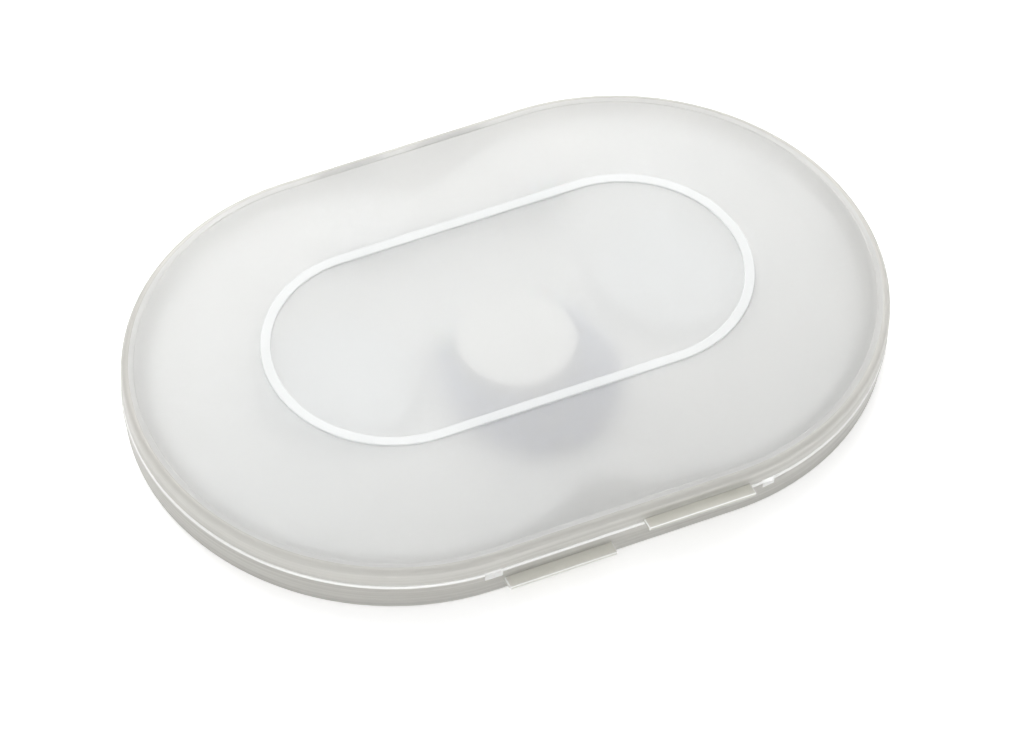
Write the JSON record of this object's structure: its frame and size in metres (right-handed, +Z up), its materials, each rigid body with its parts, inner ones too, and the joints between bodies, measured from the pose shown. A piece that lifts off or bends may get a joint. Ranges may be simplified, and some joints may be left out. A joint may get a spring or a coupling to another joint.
{
  "type": "contact lens case",
  "caption": "Flat obround travel case with a hinged frosted lid over a lens tray, screw-capped lens cups, a round mirror, tweezers and an applicator stick.",
  "frame": {"origin": "centre of the flat face that the case rests on", "axes": "+X along the case's length, +Y towards the hinge with the thumb ledges at -Y, +Z up through the lid"},
  "size_m": [0.13, 0.0915, 0.0146],
  "materials": {
    "frosted_base": "frosted translucent polypropylene, warm grey",
    "frosted_lid": "frosted translucent polypropylene, fine satin grain",
    "steel": "plain drawn wire",
    "tray_white": "satin white",
    "cup_white": "glossy white",
    "cap_white": "satin white",
    "silicone": "milky silicone",
    "frame_white": "glossy white",
    "mirror_silver": "silvered glass",
    "blue_grey": "satin blue grey"
  },
  "bodies": {
    "case_base": {"base_shell": "frosted_base", "hinge_pin_left": "steel", "hinge_pin_right": "steel", "lens_tray": "tray_white", "lens_cup_left": "cup_white", "lens_cup_right": "cup_white", "mirror_frame": "frame_white", "mirror_glass": "mirror_silver", "tweezer_arm_left": "blue_grey", "tweezer_tip_left": "silicone", "tweezer_pivot": "steel", "applicator_stick": "cup_white", "suction_cup": "silicone"},
    "lid": {"lid_shell": "frosted_lid"},
    "seal_left": {"cap_seal_left": "silicone"},
    "cap_left": {"screw_cap_left": "cap_white"},
    "seal_right": {"cap_seal_right": "silicone"},
    "cap_right": {"screw_cap_right": "cap_white"},
    "tweezer_jaw": {"tweezer_arm_right": "blue_grey", "tweezer_tip_right": "silicone"}
  },
  "joints": [
    {"name": "lid_hinge", "type": "hinge", "parent": "case_base", "child": "lid", "pos_m": [0, 0.04415, 0.005], "axis": [-1, 0, 0], "range_deg": [0, 160]},
    {"name": "cap_left_lift", "type": "slide", "parent": "case_base", "child": "seal_left", "axis": [0, 0, 1], "range_m": [0, 0.00301]},
    {"name": "cap_left_turn", "type": "hinge", "parent": "seal_left", "child": "cap_left", "pos_m": [-0.03, 0, 0.008], "axis": [0, 0, 1], "range_deg": [0, 450]},
    {"name": "cap_right_lift", "type": "slide", "parent": "case_base", "child": "seal_right", "axis": [0, 0, 1], "range_m": [0, 0.00301]},
    {"name": "cap_right_turn", "type": "hinge", "parent": "seal_right", "child": "cap_right", "pos_m": [0.03, 0, 0.008], "axis": [0, 0, 1], "range_deg": [0, 450]},
    {"name": "tweezer_squeeze", "type": "hinge", "parent": "case_base", "child": "tweezer_jaw", "pos_m": [-0.0022, -0.0218, 0.0089], "axis": [0, 0, 1], "range_deg": [0, 5], "stiffness_Nm_per_rad": 0.02}
  ],
  "couplings": [
    {"joint": "cap_left_lift", "follows": "cap_left_turn", "m_per_rad": 0.00038197},
    {"joint": "cap_right_lift", "follows": "cap_right_turn", "m_per_rad": 0.00038197}
  ]
}
